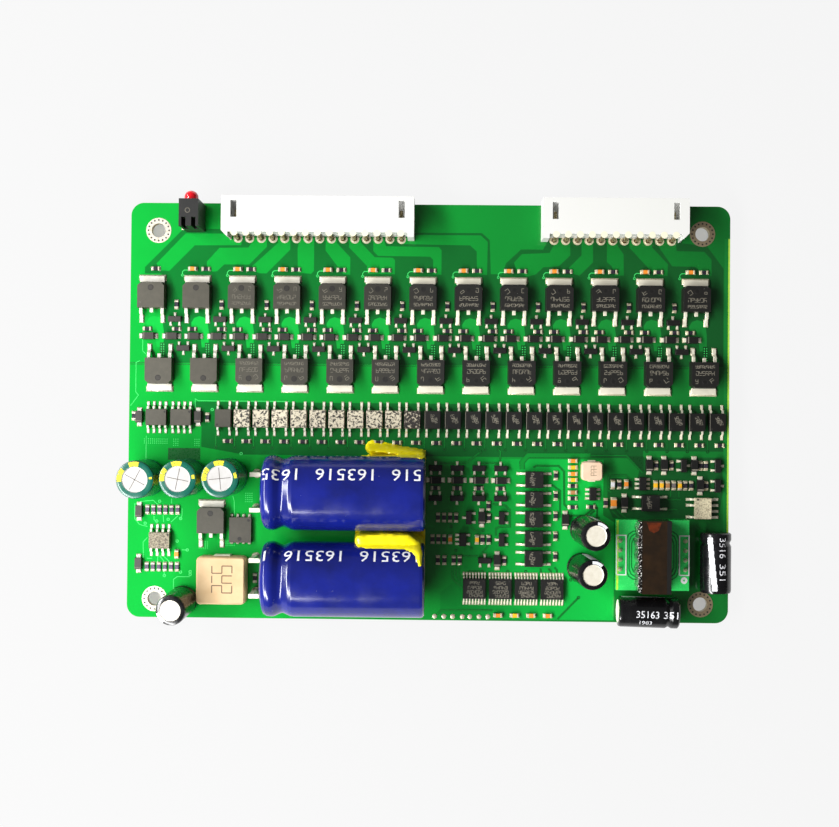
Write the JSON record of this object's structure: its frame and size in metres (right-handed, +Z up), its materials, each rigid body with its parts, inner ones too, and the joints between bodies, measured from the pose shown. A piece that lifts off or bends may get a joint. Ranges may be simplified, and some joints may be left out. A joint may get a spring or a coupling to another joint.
{
  "type": "active balancer board",
  "caption": "Flat green circuit board that balances battery cells: two edge connectors, two rows of power switches, optocouplers, large blue supercapacitors, planar transformer.",
  "frame": {"origin": "centre of the pattern of four mounting holes, on the underside of the board", "axes": "+X along the long side, with the connectors behind; +Y towards the connector edge; +Z up from the component side"},
  "size_m": [0.13, 0.0924, 0.0189],
  "materials": {
    "black_nylon": "satin moulded nylon",
    "blue_sleeve": "shrunk film sleeve",
    "capacitor_ceramic": "fired ceramic, tinned ends",
    "ferrite": "sintered ferrite",
    "green_sleeve": "shrunk film sleeve",
    "moulded_epoxy": "fine-blasted moulding compound",
    "polyimide_tape": "amber film",
    "pressed_iron_powder": "coated pressed powder",
    "red_epoxy": "clear-tinted epoxy",
    "resistor_glaze": "glazed film on alumina, tinned ends",
    "solder": "bright solder",
    "solder_mask": "gloss green solder mask over glass-epoxy",
    "tinned_brass": "bright tin over brass",
    "tinned_copper": "bright tin over copper",
    "white_nylon": "satin moulded nylon",
    "winding_board_mask": "gloss green solder mask",
    "yellow_glue": "set flexible fixing glue"
  },
  "bodies": {
    "root": {"amplifier_bodies": "moulded_epoxy", "amplifier_leads": "tinned_copper", "chip_capacitors": "capacitor_ceramic", "chip_resistors": "resistor_glaze", "circuit_board": "solder_mask", "controller_body": "moulded_epoxy", "controller_leads": "tinned_copper", "converter_switch_bodies": "moulded_epoxy", "converter_switch_leadframes": "tinned_copper", "diode_bodies": "moulded_epoxy", "glue_bridge": "yellow_glue", "glue_fillet": "yellow_glue", "large_inductor_core": "pressed_iron_powder", "large_inductor_terminals": "tinned_copper", "led_holder": "black_nylon", "led_lens": "red_epoxy", "left_connector_housing": "white_nylon", "left_connector_pins": "tinned_brass", "lower_switch_bodies": "moulded_epoxy", "lower_switch_leadframes": "tinned_copper", "lying_capacitors": "blue_sleeve", "optocoupler_column_bodies": "moulded_epoxy", "optocoupler_column_leads": "tinned_copper", "optocoupler_row_bodies": "moulded_epoxy", "optocoupler_row_leads": "tinned_copper", "power_stage_body": "moulded_epoxy", "register_bodies": "moulded_epoxy", "regulator_bodies": "moulded_epoxy", "right_connector_housing": "white_nylon", "right_connector_pins": "tinned_brass", "small_inductor_core": "pressed_iron_powder", "small_inductor_terminals": "tinned_copper", "solder_joints": "solder", "standing_capacitors": "green_sleeve", "supercapacitor_leads": "tinned_copper", "transformer_board": "winding_board_mask", "transformer_core": "ferrite", "transformer_pins": "tinned_copper", "transformer_tape": "polyimide_tape", "transistor_bodies": "moulded_epoxy", "upper_switch_bodies": "moulded_epoxy", "upper_switch_leadframes": "tinned_copper"}
  },
  "joints": []
}
